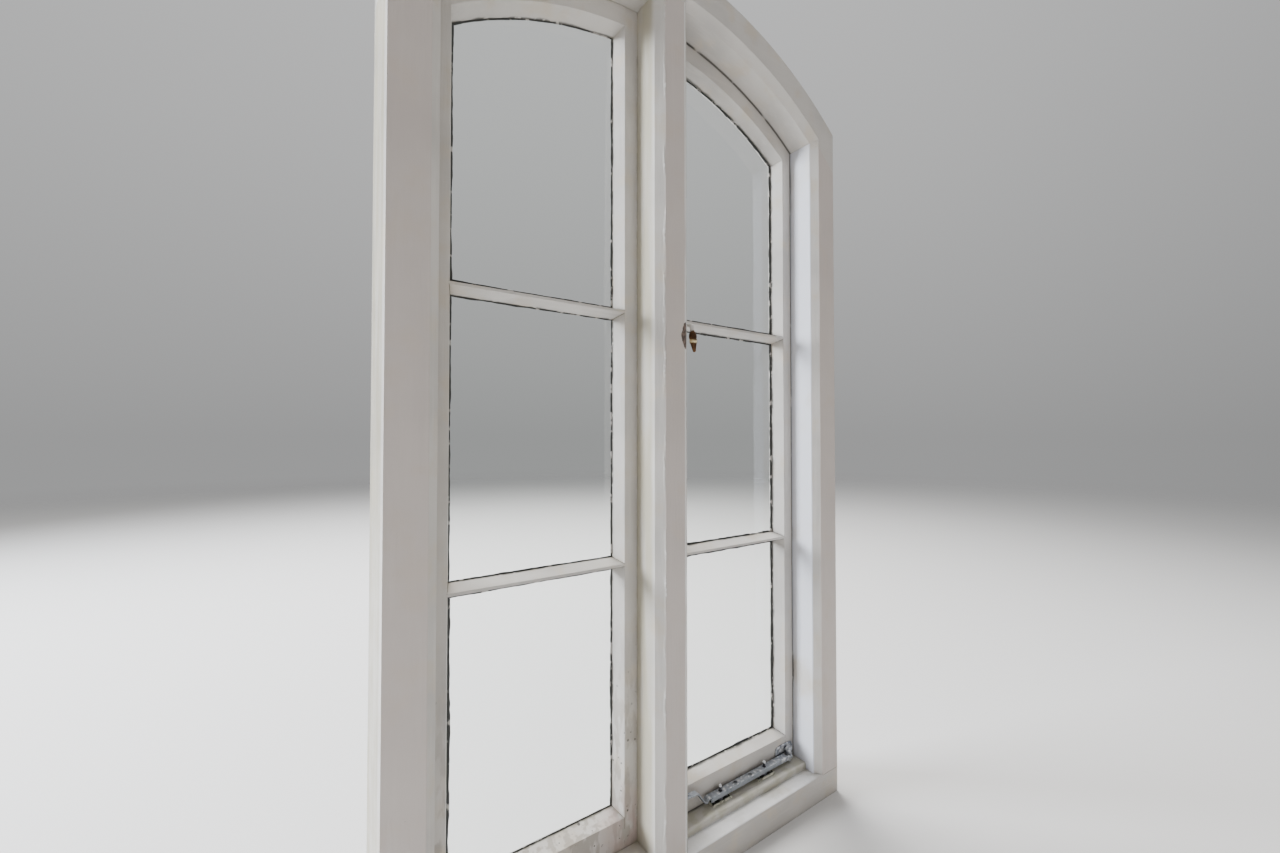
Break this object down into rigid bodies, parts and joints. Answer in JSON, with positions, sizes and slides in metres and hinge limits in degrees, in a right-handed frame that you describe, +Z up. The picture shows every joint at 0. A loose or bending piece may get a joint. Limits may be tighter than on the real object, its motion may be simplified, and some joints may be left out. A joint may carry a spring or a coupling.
{
  "type": "casement window",
  "caption": "Timber casement window with an arched head and glazing bars; a side-hung light opens outwards on a peg stay and a lever fastener, beside a fixed light.",
  "frame": {"origin": "bottom centre of the window's box", "axes": "+X to the right as seen from the room, +Y outwards, +Z up"},
  "size_m": [1.0506, 0.172, 1.862],
  "materials": {
    "frame_paint": "white paint, brushed on, aged",
    "sash_paint": "white paint, brushed on, aged",
    "putty": "painted linseed putty",
    "glass": "clear drawn glass",
    "zinc": "zinc plated, worn",
    "peg_plates": "yellowed plating",
    "hinges": "painted over",
    "screws": "dulled",
    "aged_brass": "dark, worn bright at the edges"
  },
  "bodies": {
    "frame": {"head": "frame_paint", "hinge_jamb_leaf_screws": "screws", "hinge_lower_jamb_leaf": "hinges", "hinge_lower_pin": "hinges", "hinge_upper_jamb_leaf": "hinges", "hinge_upper_pin": "hinges", "jamb_left": "frame_paint", "jamb_right": "frame_paint", "left_bottom_rail": "sash_paint", "left_glass_1": "glass", "left_glass_2": "glass", "left_glass_3": "glass", "left_head_rail": "sash_paint", "left_lower_bar": "sash_paint", "left_meeting_stile": "sash_paint", "left_outer_stile": "sash_paint", "left_putty_1": "putty", "left_putty_2": "putty", "left_putty_3": "putty", "left_upper_bar": "sash_paint", "mortice_plate": "aged_brass", "mortice_plate_screws": "screws", "mullion": "frame_paint", "sill": "frame_paint", "stay_peg_far": "zinc", "stay_peg_near": "zinc", "stay_peg_plate_far": "peg_plates", "stay_peg_plate_near": "peg_plates", "stay_peg_screws_far": "screws", "stay_peg_screws_near": "screws"},
    "casement": {"fastener_plate": "aged_brass", "fastener_plate_screws": "screws", "fastener_spindle": "aged_brass", "hinge_lower_sash_leaf": "hinges", "hinge_sash_leaf_screws": "screws", "hinge_upper_sash_leaf": "hinges", "right_bottom_rail": "sash_paint", "right_glass_1": "glass", "right_glass_2": "glass", "right_glass_3": "glass", "right_head_rail": "sash_paint", "right_lower_bar": "sash_paint", "right_meeting_stile": "sash_paint", "right_outer_stile": "sash_paint", "right_putty_1": "putty", "right_putty_2": "putty", "right_putty_3": "putty", "right_upper_bar": "sash_paint", "stay_bracket": "zinc", "stay_bracket_screws": "screws", "stay_swivel_pin": "zinc"},
    "stay_swivel": {"stay_swivel": "zinc"},
    "stay_arm": {"stay_arm": "zinc"},
    "fastener_lever": {"fastener_lever": "aged_brass"}
  },
  "joints": [
    {"name": "casement_swing", "type": "hinge", "parent": "frame", "child": "casement", "pos_m": [0.4605, 0.0431, 0.85], "axis": [0, 0, -1], "range_deg": [0, 84.37]},
    {"name": "stay_swing", "type": "hinge", "parent": "casement", "child": "stay_swivel", "pos_m": [0.415, -0.0225, 0.095], "axis": [0, 0, 1], "range_deg": [0, 110.51]},
    {"name": "stay_lift", "type": "hinge", "parent": "stay_swivel", "child": "stay_arm", "pos_m": [0.415, -0.0225, 0.095], "axis": [0, 1, 0], "range_deg": [0, 30]},
    {"name": "fastener_turn", "type": "hinge", "parent": "casement", "child": "fastener_lever", "pos_m": [0.06025, -0.0225, 1.147], "axis": [0, -1, 0], "range_deg": [0, 90]}
  ]
}
